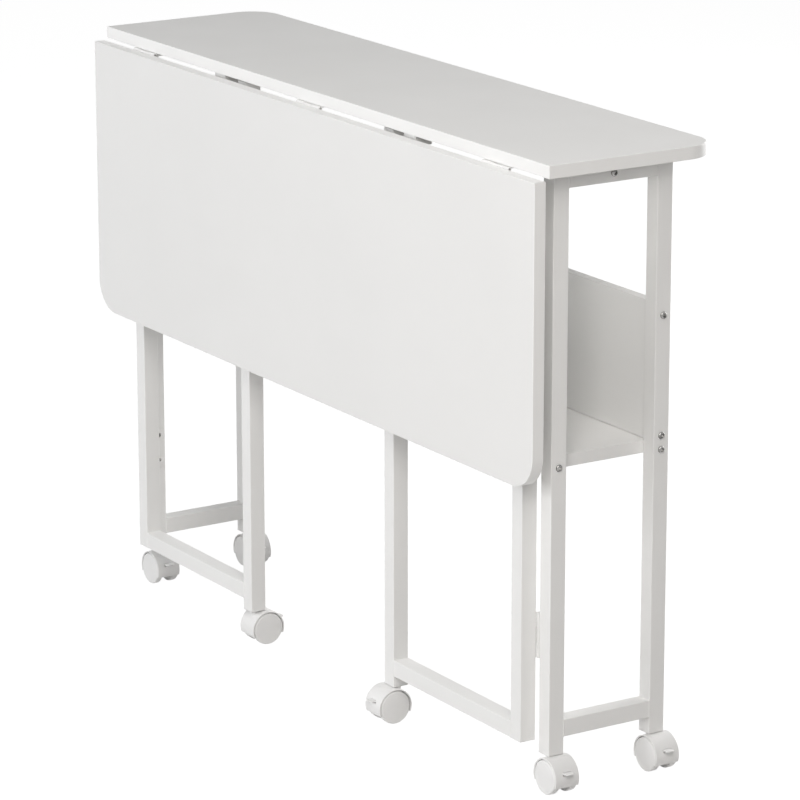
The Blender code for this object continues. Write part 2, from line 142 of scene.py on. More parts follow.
# %% Floor: a pale sheet that keeps a faint shadow
FLOOR_SIZE = 16.0
FLOOR_DROP = 0.0002
FLOOR_COLOUR = (0.68, 0.67, 0.66, 1.0)
FLOOR_SEEN_COLOUR = (0.14, 0.14, 0.14, 1.0)
FLOOR_GLOW = 0.97

bpy.ops.mesh.primitive_plane_add(size=FLOOR_SIZE, location=(0, 0, -FLOOR_DROP))
floor = bpy.context.object
floor.name = "studio_floor"
paper = bpy.data.materials.new("studio_paper")
paper.use_nodes = True
tree = paper.node_tree
tree.nodes.clear()
lit = add_node(tree, "ShaderNodeBsdfDiffuse", {"Color": FLOOR_COLOUR})
seen = add_node(tree, "ShaderNodeBsdfDiffuse", {"Color": FLOOR_SEEN_COLOUR})
glow = add_node(tree, "ShaderNodeEmission", {"Color": (1.0, 1.0, 1.0, 1.0), "Strength": FLOOR_GLOW})
bright = add_node(tree, "ShaderNodeAddShader", {0: seen.outputs[0], 1: glow.outputs[0]})
sides = {"Fac": seen_directly(tree), 1: lit.outputs[0], 2: bright.outputs[0]}
sheet = add_node(tree, "ShaderNodeMixShader", sides)
add_node(tree, "ShaderNodeOutputMaterial", {"Surface": sheet.outputs[0]})
floor.data.materials.append(paper)
floor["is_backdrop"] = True
print("floor", FLOOR_SIZE, "m wide")

# %% Lamps
NEUTRAL = (1.0, 1.0, 1.0)
COOL = (0.985, 0.998, 1.02)
WARM = (1.0, 0.974, 0.950)
LAMPS = {
    "front": dict(place=(0.0, -4.6, 1.6), size=2.0, power=77.0, colour=COOL),
    "left_front": dict(place=(-1.6, -2.2, 1.2), size=1.2, power=12.0, colour=COOL),
    "right_front": dict(place=(3.1, -2.0, 2.3), size=1.5, power=46.5, colour=WARM),
    "right_high": dict(place=(2.3, -1.3, 3.0), size=1.5, power=32.0, colour=WARM),
    "top": dict(place=(0.7, 0.0, 3.2), size=1.5, power=12.5, colour=NEUTRAL),
    "back_wide": dict(place=(-0.6, 3.5, 1.1), size=2.0, power=102.0, colour=NEUTRAL),
}
LAMP_AIM = Vector((0.0, 0.0, 0.4))

for name, lamp in LAMPS.items():
    turn = (LAMP_AIM - Vector(lamp["place"])).to_track_quat("-Z", "Y").to_euler()
    bpy.ops.object.light_add(type="AREA", location=lamp["place"], rotation=turn)
    box = bpy.context.object
    box.name = name
    box.data.size = lamp["size"]
    box.data.energy = lamp["power"]
    box.data.color = lamp["colour"]
    print(name, lamp["power"], "W")

# %% [markdown]
# ## Workbench
# A modeller adds a plain body at its size, opens it, picks the edges or faces to work on, and
# bevels, insets or extrudes them. These helpers do the same: they pick by place or direction, so
# that nothing depends on the order in which the faces of a mesh happen to be stored.

# %% Workbench: select, add and pick
ALONG_X, ALONG_Y, ALONG_Z = 0, 1, 2
TINY = 0.000001
ALIGNED = 0.999
ROD_SIDES = 32
FINE_STEPS = 2
EDGE_STEPS = 3


def deselect():
    """Leaves edit mode and lets go of everything."""
    if bpy.context.mode != "OBJECT":
        bpy.ops.object.mode_set(mode="OBJECT")
    bpy.ops.object.select_all(action="DESELECT")


def take(piece):
    """Makes a piece the only selected one."""
    deselect()
    piece.select_set(True)
    bpy.context.view_layer.objects.active = piece


def settle(name):
    """Names the piece just added and moves its place, turn and size into its mesh."""
    piece = bpy.context.object
    piece.name = name
    bpy.ops.object.transform_apply(location=True, rotation=True, scale=True)
    return piece


def block(name, low, high):
    """Adds a box between two corners."""
    deselect()
    low, high = Vector(low), Vector(high)
    bpy.ops.mesh.primitive_cube_add(size=1, location=(low + high) / 2)
    bpy.context.object.scale = high - low
    return settle(name)


def rod(name, start, end, radius, sides=ROD_SIDES, end_radius=None):
    """Adds a round bar, or a cone, between two points."""
    deselect()
    start, end = Vector(start), Vector(end)
    turn = (end - start).to_track_quat("Z", "Y").to_euler()
    bpy.ops.mesh.primitive_cone_add(
        vertices=sides, radius1=radius, radius2=radius if end_radius is None else end_radius,
        depth=(end - start).length, location=(start + end) / 2, rotation=turn)
    return settle(name)


def pick(piece, kind, test):
    """Opens a piece in edit mode with only those of its points, edges or faces selected that pass a test."""
    take(piece)
    bpy.ops.object.mode_set(mode="EDIT")
    bpy.ops.mesh.select_mode(type=kind)
    bpy.ops.mesh.select_all(action="DESELECT")
    bpy.ops.object.mode_set(mode="OBJECT")
    mesh = piece.data
    points = [point.co.copy() for point in mesh.vertices]
    if kind == "FACE":
        for face in mesh.polygons:
            face.select = test(face.center, face.normal)
    elif kind == "EDGE":
        for edge in mesh.edges:
            edge.select = test(points[edge.vertices[0]], points[edge.vertices[1]])
    else:
        for point in mesh.vertices:
            point.select = test(point.co)
    bpy.ops.object.mode_set(mode="EDIT")


def runs(start, end, axis):
    """Tells whether an edge runs along an axis."""
    return abs((end - start).normalized()[axis]) > ALIGNED


def faces(axis, sign=0):
    """Gives a test for faces square to an axis, on both sides or on one."""
    return lambda middle, normal: (normal[axis] * sign if sign else abs(normal[axis])) > ALIGNED


# %% Workbench: modifiers, copies and joining
def modify(piece, kind, **settings):
    """Adds a modifier with its settings and applies it."""
    take(piece)
    modifier = piece.modifiers.new(kind.lower(), kind)
    for name, value in settings.items():
        setattr(modifier, name, value)
    bpy.ops.object.modifier_apply(modifier=modifier.name)


def weld(base, *others):
    """Joins other bodies to a body as one closed skin."""
    for other in others:
        modify(base, "BOOLEAN", operation="UNION", solver="MANIFOLD", object=other)
        bpy.data.objects.remove(other)
    return base


def carve(base, *cutters):
    """Cuts bodies out of a body."""
    for cutter in cutters:
        modify(base, "BOOLEAN", operation="DIFFERENCE", solver="EXACT", object=cutter)
        bpy.data.objects.remove(cutter)
    return base


def group(base, *others):
    """Puts separate bodies into one piece, each with its own finish."""
    deselect()
    for piece in (base, *others):
        piece.select_set(True)
    bpy.context.view_layer.objects.active = base
    bpy.ops.object.join()
    return base


def placed_copy(master, name, matrix):
    """Copies a piece with a mesh of its own and puts it in its place."""
    take(master)
    bpy.ops.object.duplicate(linked=False)
    bpy.context.object.matrix_world = matrix
    return settle(name)


# %% Workbench: finish a piece and fix it to its body
SMOOTH_ANGLE = math.radians(38)


def smooth(piece, finish):
    """Merges doubles, turns faces outwards, smooths round edges, keeps flats flat and lays on a finish."""
    take(piece)
    bpy.ops.object.mode_set(mode="EDIT")
    bpy.ops.mesh.select_all(action="SELECT")
    bpy.ops.mesh.remove_doubles(threshold=TINY)
    bpy.ops.mesh.normals_make_consistent(inside=False)
    bpy.ops.object.mode_set(mode="OBJECT")
    bpy.ops.object.shade_smooth_by_angle(angle=SMOOTH_ANGLE)
    modify(piece, "WEIGHTED_NORMAL", keep_sharp=True)
    piece.data.materials.clear()
    piece.data.materials.append(finish)
    return piece


def fix(piece, body, slot, *nodes):
    """Fixes a finished piece to a body in place of the solids it stands for. The slot is not used."""
    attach(piece, body)
    if nodes:
        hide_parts(*nodes)
    print(piece.name, len(piece.data.polygons), "faces on", body)


# %% [markdown]
# ## Finishes
# Everything on this desk is white, so the finishes differ by their skin. Melamine board has a fine
# pearl grain, powder coat on steel has the slow ripple called orange peel, moulded plastic has a
# faint spark grain, and nickelled screws mirror the room and carry fine scratches; their large light
# and dark patches are painted reflection, a darker room painted into their colour. Three effects
# are shared by all of them. The first is the skin, a fine height with soft patches of tone and of
# gloss. The second is rare scuffs that lie along the desk. The third is arrises rubbed smooth by
# hands. An arris is found by comparing the surface with a copy of it whose edges are rounded wider.

# %% Helpers for node groups
def new_group(name, inputs, outputs):
    """Starts a node group and gives it with its entry and exit sockets."""
    made = bpy.data.node_groups.new(name, "ShaderNodeTree")
    for socket, kind in inputs.items():
        made.interface.new_socket(socket, in_out="INPUT", socket_type="NodeSocket" + kind)
    for socket in outputs:
        made.interface.new_socket(socket, in_out="OUTPUT", socket_type="NodeSocketFloat")
    return made, made.nodes.new("NodeGroupInput").outputs, made.nodes.new("NodeGroupOutput").inputs


def spread(tree, value, low, high, to_low=0.0, to_high=1.0):
    """Stretches a value between two limits and keeps it inside them."""
    limits = {"Value": value, "From Min": low, "From Max": high, "To Min": to_low, "To Max": to_high}
    return add_node(tree, "ShaderNodeMapRange", limits).outputs[0]


def noise(tree, place, scale, detail=2.0):
    """Gives a cloud pattern."""
    settings = {"Vector": place, "Scale": scale, "Detail": detail}
    return add_node(tree, "ShaderNodeTexNoise", settings).outputs[0]


# %% Shared effects as node groups
PATCH_LIMITS = (0.3, 0.7)
GLOSS_FINER = 2.7
GRAIN_DETAIL = 3.0
GLOSS_DETAIL = 4.0
SCUFF_DETAIL = 1.0
SCUFF_STRETCH = (0.05, 1.0, 1.0)
SCUFF_LIMITS = (0.66, 0.74)
SCUFFED_PLACES = 7.0
PLACE_LIMITS = (0.52, 0.62)
ROUNDER_SAMPLES = 6
ARRIS_LIMITS = (0.99, 0.85)
HANDLED_PLACES = 90.0
HANDLED_LIMITS = (0.35, 0.65, 0.25, 1.0)

skin, entry, leave = new_group(
    "skin", {"Vector": "Vector", "Grain": "Float", "Patch": "Float"}, ("Height", "Tone", "Gloss"))
finer = {0: entry["Patch"], 1: GLOSS_FINER}
gloss_patch = add_node(skin, "ShaderNodeMath", finer, operation="MULTIPLY").outputs[0]
skin.links.new(noise(skin, entry["Vector"], entry["Grain"], GRAIN_DETAIL), leave["Height"])
tone = noise(skin, entry["Vector"], entry["Patch"])
gloss = noise(skin, entry["Vector"], gloss_patch, GLOSS_DETAIL)
skin.links.new(spread(skin, tone, *PATCH_LIMITS), leave["Tone"])
skin.links.new(spread(skin, gloss, *PATCH_LIMITS), leave["Gloss"])

scuffs, entry, leave = new_group("scuffs", {"Vector": "Vector", "Scale": "Float"}, ("Mask",))
stretched = {"Vector": entry["Vector"], "Scale": SCUFF_STRETCH}
long = add_node(scuffs, "ShaderNodeMapping", stretched).outputs[0]
streak = spread(scuffs, noise(scuffs, long, entry["Scale"], SCUFF_DETAIL), *SCUFF_LIMITS)
rare = spread(scuffs, noise(scuffs, entry["Vector"], SCUFFED_PLACES), *PLACE_LIMITS)
both = add_node(scuffs, "ShaderNodeMath", {0: streak, 1: rare}, operation="MULTIPLY").outputs[0]
scuffs.links.new(both, leave["Mask"])

edges, entry, leave = new_group("edges", {"Vector": "Vector", "Radius": "Float"}, ("Mask",))
rounder = add_node(edges, "ShaderNodeBevel", {"Radius": entry["Radius"]}, samples=ROUNDER_SAMPLES)
straight = add_node(edges, "ShaderNodeNewGeometry").outputs["Normal"]
both = {0: rounder.outputs[0], 1: straight}
turn = add_node(edges, "ShaderNodeVectorMath", both, operation="DOT_PRODUCT").outputs["Value"]
handled = spread(edges, noise(edges, entry["Vector"], HANDLED_PLACES), *HANDLED_LIMITS)
arris = spread(edges, turn, *ARRIS_LIMITS)
rubbed = add_node(edges, "ShaderNodeMath", {0: arris, 1: handled}, operation="MULTIPLY")
edges.links.new(rubbed.outputs[0], leave["Mask"])
print("node groups:", skin.name, scuffs.name, edges.name)


# %% One recipe for all finishes
EDGE_REACH = 0.0012
EDGE_TONE = 0.96
EDGE_GLOSS = -0.08
SCUFFS_PER_GRAIN = 0.25
MIX_SHARE, MIX_FIRST, MIX_SECOND, MIX_COLOUR = 0, 6, 7, 2


def new_finish(name, pale, deep, grain, patch, rough, relief, scuffed=0.04, **shader):
    """Makes a finish from two tones, grain and patches per metre, two roughnesses and a relief in metres."""
    material = bpy.data.materials.new(name)
    material.use_nodes = True
    tree = material.node_tree
    tree.nodes.clear()
    place = add_node(tree, "ShaderNodeTexCoord").outputs["Object"]
    face = add_node(tree, "ShaderNodeGroup", node_tree=skin)
    marks = add_node(tree, "ShaderNodeGroup", node_tree=scuffs)
    rubs = add_node(tree, "ShaderNodeGroup", node_tree=edges)
    for made, values in (
            (face, {"Grain": grain, "Patch": patch}),
            (marks, {"Scale": SCUFFS_PER_GRAIN * grain}),
            (rubs, {"Radius": EDGE_REACH})):
        tree.links.new(place, made.inputs["Vector"])
        for socket, value in values.items():
            made.inputs[socket].default_value = value
    tones = {MIX_SHARE: face.outputs["Tone"], MIX_FIRST: (*pale, 1.0), MIX_SECOND: (*deep, 1.0)}
    patchy = add_node(tree, "ShaderNodeMix", tones, data_type="RGBA").outputs[MIX_COLOUR]
    rubbed = (*[EDGE_TONE * tone for tone in deep], 1.0)
    tones = {MIX_SHARE: rubs.outputs["Mask"], MIX_FIRST: patchy, MIX_SECOND: rubbed}
    colour = add_node(tree, "ShaderNodeMix", tones, data_type="RGBA").outputs[MIX_COLOUR]
    gloss = spread(tree, face.outputs["Gloss"], 0.0, 1.0, *rough)
    scuff = {0: marks.outputs["Mask"], 1: scuffed, 2: gloss}
    dull = add_node(tree, "ShaderNodeMath", scuff, operation="MULTIPLY_ADD").outputs[0]
    rub = {0: rubs.outputs["Mask"], 1: EDGE_GLOSS, 2: dull}
    shine = add_node(tree, "ShaderNodeMath", rub, operation="MULTIPLY_ADD").outputs[0]
    grains = {"Height": face.outputs["Height"], "Distance": relief, "Strength": 1.0}
    bump = add_node(tree, "ShaderNodeBump", grains).outputs[0]
    surface = {"Base Color": colour, "Roughness": shine, "Normal": bump, **shader}
    body = add_node(tree, "ShaderNodeBsdfPrincipled", surface)
    add_node(tree, "ShaderNodeOutputMaterial", {"Surface": body.outputs[0]})
    return material


# %% The finishes
melamine = new_finish(
    "melamine", (0.842, 0.840, 0.828), (0.826, 0.824, 0.812), 2600.0, 6.0, (0.54, 0.64), 0.000015,
    **{"Specular IOR Level": 0.25})
# The top's and leaf's band colour is whiter than the melamine, partly the band's own plastic and partly
# painted highlight on their lit front edges.
edge_band_with_painted_highlight = new_finish(
    "edge_band_with_painted_highlight", (0.912, 0.910, 0.898), (0.898, 0.896, 0.884), 1800.0, 14.0, (0.30, 0.38), 0.00001,
    **{"Specular IOR Level": 0.30})
powder_coat = new_finish(
    "powder_coat", (0.864, 0.862, 0.850), (0.846, 0.844, 0.832), 700.0, 11.0, (0.34, 0.44), 0.00004)
hinge_enamel = new_finish(
    "hinge_enamel", (0.850, 0.848, 0.836), (0.820, 0.818, 0.806), 900.0, 40.0, (0.30, 0.42), 0.00003)
# The wide gap between the pale and deep tones, in patches about a screw head across, is painted reflection:
# light and dark patches that stand in for a darker room mirrored in the heads.
nickel_with_painted_reflections = new_finish(
    "nickel_with_painted_reflections", (0.460, 0.452, 0.440), (0.110, 0.108, 0.105), 3000.0, 170.0, (0.14, 0.26), 0.000005, 0.2,
    Metallic=1.0)
hood_plastic = new_finish(
    "hood_plastic", (0.866, 0.864, 0.856), (0.848, 0.846, 0.838), 3200.0, 40.0, (0.40, 0.50), 0.00002)
wheel_plastic = new_finish(
    "wheel_plastic", (0.864, 0.862, 0.854), (0.844, 0.842, 0.834), 2400.0, 60.0, (0.32, 0.44), 0.000015)
brake_plastic = new_finish(
    "brake_plastic", (0.866, 0.864, 0.856), (0.848, 0.846, 0.838), 2800.0, 80.0, (0.34, 0.42), 0.000015)
stem_plastic = new_finish(
    "stem_plastic", (0.850, 0.848, 0.834), (0.826, 0.824, 0.810), 2600.0, 60.0, (0.38, 0.48), 0.000015)
catch_plastic = new_finish(
    "catch_plastic", (0.850, 0.848, 0.836), (0.826, 0.824, 0.812), 2600.0, 60.0, (0.36, 0.46), 0.000015)
print("finishes:", len(bpy.data.materials))

# %% [markdown]
# ## Boards
# The boards are chipboard faced with white melamine. A strip of plastic, the edge band, is glued
# round each edge and its arrises are scraped round, so a hairline seam runs beside it. So each
# board is two pieces: the core, and the band as a ring round it. The bands of the top and the leaf
# are a brighter white, partly their own plastic and partly painted highlight for the light their
# front edges catch, while the inner boards' bands take the melamine colour, painted shade that keeps
# their edges as dim as the inside of the desk. The fixed top has round rear corners, and the leaf has
# round lower ones.

# %% Board core and edge band
BAND = 0.0008
SEAM = 0.00005
ARRIS = 0.0006
ARRIS_STEPS = 4
CORE_ARRIS = 0.0001
CORNER_RADIUS = 0.040
CORNER_STEPS = 24


def round_corners(piece, through, corner, radius):
    """Rounds the corners of a board that a test picks by their place."""
    pick(piece, "EDGE", lambda a, b: runs(a, b, through) and corner(a))
    bpy.ops.mesh.bevel(offset=radius, segments=CORNER_STEPS, affect="EDGES")


def soften(piece, through, radius, steps):
    """Rounds the arrises round both broad faces of a board."""
    pick(piece, "FACE", faces(through))
    bpy.ops.mesh.region_to_loop()
    bpy.ops.mesh.bevel(offset=radius, segments=steps, affect="EDGES")


def make_board(node, body, through, edging, corner=None):
    """Models a board as a core and a band with its own finish, through being the axis of its thickness."""
    low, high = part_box(node)
    margin = Vector((BAND + SEAM,) * 3)
    margin[through] = 0.0
    core = block(node + "_core", low + margin, high - margin)
    band = block(node + "_band", low, high)
    if corner:
        round_corners(core, through, corner, CORNER_RADIUS - BAND - SEAM)
        round_corners(band, through, corner, CORNER_RADIUS)
    soften(core, through, CORE_ARRIS, FINE_STEPS)
    soften(band, through, ARRIS, ARRIS_STEPS)
    pick(band, "FACE", faces(through))
    bpy.ops.mesh.inset(thickness=BAND - ARRIS)
    bpy.ops.mesh.delete(type="FACE")
    bpy.ops.mesh.select_mode(type="EDGE")
    bpy.ops.mesh.select_non_manifold()
    bpy.ops.mesh.bridge_edge_loops()
    fix(smooth(core, melamine), body, "melamine", node)
    fix(smooth(band, edging), body, "melamine", node)


top_low, top_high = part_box("fixed_top")
leaf_low, leaf_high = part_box("drop_leaf")
make_board("fixed_top", "frame", ALONG_Z, edge_band_with_painted_highlight, lambda point: point.y > (top_low.y + top_high.y) / 2)
make_board("drop_leaf", "leaf", ALONG_Y, edge_band_with_painted_highlight, lambda point: point.z < (leaf_low.z + leaf_high.z) / 2)
# The shelf and back panel bands take the melamine colour, darker than the band plastic: painted shade for the
# inside of the desk.
make_board("shelf", "frame", ALONG_Z, melamine)
make_board("back_panel", "frame", ALONG_Y, melamine)

# %% [markdown]
# ## Welded frames
# The end frames and gates are cut from square steel tube. The corners of the tube are round from
# the rolling mill, the rails butt between the posts, and a rippled bead of weld runs round each
# joint before the powder coat goes on. A closed loop with a round section makes the bead, and its
# radius swells and shrinks from point to point.

# %% Tube and weld bead
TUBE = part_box("top_beam")[1].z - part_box("top_beam")[0].z
TUBE_ROUNDING = 0.0010
END_RIM = 0.0006
ROUNDING_STEPS = 5
END_STEP = 0.0004
END_SLOPE = END_STEP / 4
RAIL_BITE = 0.0006
BEAD_RADIUS = 0.0011
BEAD_TURN = 0.0013
BEAD_RIPPLE = 0.12
BEAD_CUTS = 11
BEAD_ROUNDNESS = 2


def tube(name, low, high, axis):
    """Adds a square tube between two corners, closed at its ends by a face set a little in."""
    piece = block(name, low, high)
    pick(piece, "EDGE", lambda a, b: runs(a, b, axis))
    bpy.ops.mesh.bevel(offset=TUBE_ROUNDING, segments=ROUNDING_STEPS, affect="EDGES")
    pick(piece, "FACE", faces(axis))
    bpy.ops.mesh.inset(thickness=END_RIM)
    bpy.ops.mesh.inset(thickness=END_SLOPE, depth=-END_STEP)
    deselect()
    return piece


def bead(middle, axis):
    """Adds a weld bead round a tube that runs along an axis."""
    deselect()
    turn = (0, math.pi / 2, 0) if axis == ALONG_X else (math.pi / 2, 0, 0)
    bpy.ops.mesh.primitive_plane_add(size=TUBE - BEAD_RADIUS, location=middle, rotation=turn)
    loop = settle("bead")
    pick(loop, "VERT", lambda point: True)
    bpy.ops.mesh.bevel(offset=BEAD_TURN, segments=ROUNDING_STEPS, affect="VERTICES")
    pick(loop, "EDGE", lambda a, b: (b - a).length > TUBE / 2)
    bpy.ops.mesh.subdivide(number_cuts=BEAD_CUTS)
    bpy.ops.mesh.select_all(action="SELECT")
    bpy.ops.mesh.delete(type="ONLY_FACE")
    bpy.ops.object.mode_set(mode="OBJECT")
    bpy.ops.object.convert(target="CURVE")
    curve = bpy.context.object.data
    curve.bevel_depth = BEAD_RADIUS
    curve.bevel_resolution = BEAD_ROUNDNESS
    for place, point in enumerate(curve.splines[0].points):
        point.radius = 1.0 + BEAD_RIPPLE * (1 if place % 2 else -1)
    bpy.ops.object.convert(target="MESH")
    return bpy.context.object


# %% End frames
END_RAIL_FOOT = 0.0640


def make_end_frame(side):
    """Models an end frame: two posts, two rails between them and four weld beads."""
    node = side + "_end_frame"
    low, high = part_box(node)
    front, rear = low.y + TUBE, high.y - TUBE
    middle = (low.x + high.x) / 2
    parts = [tube("post", (low.x, rear, low.z), high, ALONG_Z)]
    for foot in (END_RAIL_FOOT, high.z - TUBE):
        start, end = (low.x, front - RAIL_BITE, foot), (high.x, rear + RAIL_BITE, foot + TUBE)
        parts.append(tube("rail", start, end, ALONG_Y))
        for joint in (front, rear):
            parts.append(bead((middle, joint, foot + TUBE / 2), ALONG_Y))
    welded = weld(tube(node + "_welded", low, (high.x, front, high.z), ALONG_Z), *parts)
    fix(smooth(welded, powder_coat), "frame", "powder_coat", node)


for side in ("left", "right"):
    make_end_frame(side)

# %% Gates
GATE_RAIL_FOOT = 0.0575
GATE_RAIL_HEAD = 0.706


def make_gate(side):
    """Models a gate: a hinge post, a longer free post, two rails between them and four weld beads."""
    node = side + "_gate"
    low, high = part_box(node)
    if side == "right":
        free, hinged = low.x, high.x - TUBE
    else:
        free, hinged = high.x - TUBE, low.x
    near, far = min(free, hinged) + TUBE, max(free, hinged)
    middle = (low.y + high.y) / 2
    parts = [tube("post", (hinged, low.y, GATE_RAIL_FOOT), (hinged + TUBE, high.y, GATE_RAIL_HEAD), ALONG_Z)]
    for foot in (GATE_RAIL_FOOT, GATE_RAIL_HEAD - TUBE):
        start, end = (near - RAIL_BITE, low.y, foot), (far + RAIL_BITE, high.y, foot + TUBE)
        parts.append(tube("rail", start, end, ALONG_X))
        for joint in (near, far):
            parts.append(bead((joint, middle, foot + TUBE / 2), ALONG_X))
    post = tube(node + "_welded", (free, low.y, low.z), (free + TUBE, high.y, high.z), ALONG_Z)
    fix(smooth(weld(post, *parts), powder_coat), node, "powder_coat", node)


for side in ("left", "right"):
    make_gate(side)

# %% Beam under the top
beam = tube("top_beam_tube", *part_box("top_beam"), ALONG_X)
fix(smooth(beam, powder_coat), "frame", "powder_coat", "top_beam")

# %% [markdown]
# ## Hinges
# A butt hinge is two pressed plates whose edges are rolled into knuckles round one pin. The corners
# of the plates are round, and each plate has two countersunk holes with screws in them. The
# knuckles are open at their ends, which shows as a small dark hole. All seven hinges are alike: one
# is modelled with its pin upright, and copies are turned into their places.

# %% Hinge sizes from the frame
JOINTS = {joint["name"]: joint for joint in frame["joints"]}


def joint_place(name):
    """Gives the point that a joint turns about."""
    return Vector(JOINTS[name]["pos_m"])


plate_low, plate_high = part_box("right_gate_hinge_lower_post_plate")
gate_axis = joint_place("right_gate_swing")
HINGE_HALF = (plate_high.z - plate_low.z) / 2
PLATE_NEAR = plate_high.x - gate_axis.x
PLATE_REACH = plate_high.y - gate_axis.y
KNUCKLE_RADIUS = gate_axis.y - plate_low.y
PLATE = 0.0012
PLATE_CORNER = 0.003
PLATE_CORNER_STEPS = 6
KNUCKLE_GAP = 0.0003
KNUCKLE_BORE = 0.0017
BORE_DEPTH = 0.0060
ROLL_ROOM = 0.0005
PLATE_EDGE = 0.0003
SCREW_SPACING = 0.017
SCREW_LINE = (KNUCKLE_RADIUS + ROLL_ROOM + PLATE_REACH) / 2
SINK_RADIUS = 0.0030
print("hinge", round(2000 * HINGE_HALF, 1), "mm long, plates reach", round(1000 * PLATE_REACH, 1), "mm")


# %% One half of a hinge
def hinge_half(name, ends):
    """Models one half with its plate on a face at +X, reaching to +Y. ends are the knuckles' ends along Z."""
    far = PLATE_NEAR - PLATE
    notch = KNUCKLE_RADIUS + ROLL_ROOM
    plate = block(name, (far, notch, -HINGE_HALF), (PLATE_NEAR, PLATE_REACH, HINGE_HALF))
    pick(plate, "EDGE", lambda a, b: runs(a, b, ALONG_X) and a.y > notch + TINY)
    bpy.ops.mesh.bevel(offset=PLATE_CORNER, segments=PLATE_CORNER_STEPS, affect="EDGES")
    pick(plate, "FACE", faces(ALONG_X, -1))
    bpy.ops.mesh.region_to_loop()
    bpy.ops.mesh.bevel(offset=PLATE_EDGE, segments=FINE_STEPS, affect="EDGES")
    for height in (SCREW_SPACING, -SCREW_SPACING):
        start, end = (far - TINY, SCREW_LINE, height), (PLATE_NEAR + TINY, SCREW_LINE, height)
        carve(plate, rod("sink", start, end, SINK_RADIUS, end_radius=SINK_RADIUS / 2))
    for low, high in ends:
        neck = block("neck", (far, 0, low), (PLATE_NEAR, notch + ROLL_ROOM, high))
        knuckle = rod("knuckle", (0, 0, low), (0, 0, high), KNUCKLE_RADIUS)
        pick(knuckle, "FACE", faces(ALONG_Z))
        bpy.ops.mesh.inset(thickness=KNUCKLE_RADIUS - KNUCKLE_BORE)
        bpy.ops.mesh.extrude_region_shrink_fatten(TRANSFORM_OT_shrink_fatten={"value": -BORE_DEPTH})
        weld(plate, neck, knuckle)
    return smooth(plate, hinge_enamel)


THIRD = HINGE_HALF / 3
fixed_half = hinge_half(
    "fixed_half", [(THIRD + KNUCKLE_GAP, HINGE_HALF), (-HINGE_HALF, -THIRD - KNUCKLE_GAP)])
swinging_half = hinge_half("swinging_half", [(-THIRD, THIRD)])

# %% Countersunk screw
HEAD_RADIUS = 0.0027
HEAD_HEIGHT = 0.0010
HEAD_PROUD = 0.0002
HEAD_EDGE = 0.0003
CROSS_LENGTH = 0.0032
CROSS_WIDTH = 0.0008
CROSS_DEPTH = 0.0007


def cross_head():
    """Models a flat screw head that looks along +Z, with a cross recess."""
    head = rod("cross_head", (0, 0, -HEAD_HEIGHT), (0, 0, 0), HEAD_RADIUS)
    pick(head, "FACE", faces(ALONG_Z, 1))
    bpy.ops.mesh.region_to_loop()
    bpy.ops.mesh.bevel(offset=HEAD_EDGE, segments=EDGE_STEPS, affect="EDGES")
    arms = [
        block("arm", (-x, -y, -CROSS_DEPTH), (x, y, CROSS_DEPTH))
        for x, y in ((CROSS_LENGTH / 2, CROSS_WIDTH / 2), (CROSS_WIDTH / 2, CROSS_LENGTH / 2))]
    return smooth(carve(head, *arms), nickel_with_painted_reflections)


screw_head = cross_head()
for half in (fixed_half, swinging_half):
    heads = []
    for height in (SCREW_SPACING, -SCREW_SPACING):
        place = Matrix.Translation((PLATE_NEAR - PLATE - HEAD_PROUD, SCREW_LINE, height))
        heads.append(placed_copy(screw_head, "head", place @ Matrix.Rotation(-math.pi / 2, 4, "Y")))
    group(half, *heads)
print("a hinge half has", len(fixed_half.data.polygons), "faces")

# %% Copies of the hinge
SWINGING = Matrix.Rotation(math.pi, 4, (1, -1, 0))
HINGE_ALONG = Matrix.Rotation(-math.pi / 2, 4, "Y")
HINGE_LEFT = Matrix.Rotation(math.pi, 4, "Y")


def hang(fixed_node, swinging_node, middle, turn, moving):
    """Puts a copy of both hinge halves at their axis in place of the two solids."""
    there = Matrix.Translation(middle) @ turn
    fixed = placed_copy(fixed_half, fixed_node + "_pressed", there)
    fix(fixed, "frame", "hinge_enamel", fixed_node)
    swinging = placed_copy(swinging_half, swinging_node + "_pressed", there @ SWINGING)
    fix(swinging, moving, "hinge_enamel", swinging_node)


leaf_axis = joint_place("leaf_lift")
for place in ("left", "middle", "right"):
    node = f"leaf_hinge_{place}_"
    low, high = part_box(node + "top_plate")
    middle = Vector(((low.x + high.x) / 2, leaf_axis.y, leaf_axis.z))
    hang(node + "top_plate", node + "leaf_plate", middle, HINGE_ALONG, "leaf")
for side, turn in (("left", HINGE_LEFT), ("right", Matrix())):
    axis = joint_place(side + "_gate_swing")
    for level in ("lower", "upper"):
        node = f"{side}_gate_hinge_{level}_"
        low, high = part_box(node + "post_plate")
        middle = Vector((axis.x, axis.y, (low.z + high.z) / 2))
        hang(node + "post_plate", node + "gate_plate", middle, turn, side + "_gate")
for master in (fixed_half, swinging_half, screw_head):
    bpy.data.objects.remove(master)

# %% [markdown]
# ## Frame screws
# Five screws on each side hold the boards and the beam to the end frames. Their nickelled heads are
# low domes with a six-sided socket. The dome is half of a flattened ball, and the socket is cut
# with a six-sided bar, so it turns dark inside just as the real one does.

# %% Domed screw
screw_low, screw_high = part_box("right_screw_top_rail")
DOME_RADIUS = (screw_high.z - screw_low.z) / 2
DOME_HEIGHT = 0.0024
DOME_BRIM = 0.0004
DOME_SIDES = 48
SOCKET_RADIUS = 0.0024
SOCKET_DEPTH = 0.0018
SOCKET_SIDES = 6
SHANK_RADIUS = 0.0020
SHANK_SIDES = 24
SHANK_POINT = 0.8 * SHANK_RADIUS
SHANK_LENGTH = screw_high.x - screw_low.x - DOME_HEIGHT

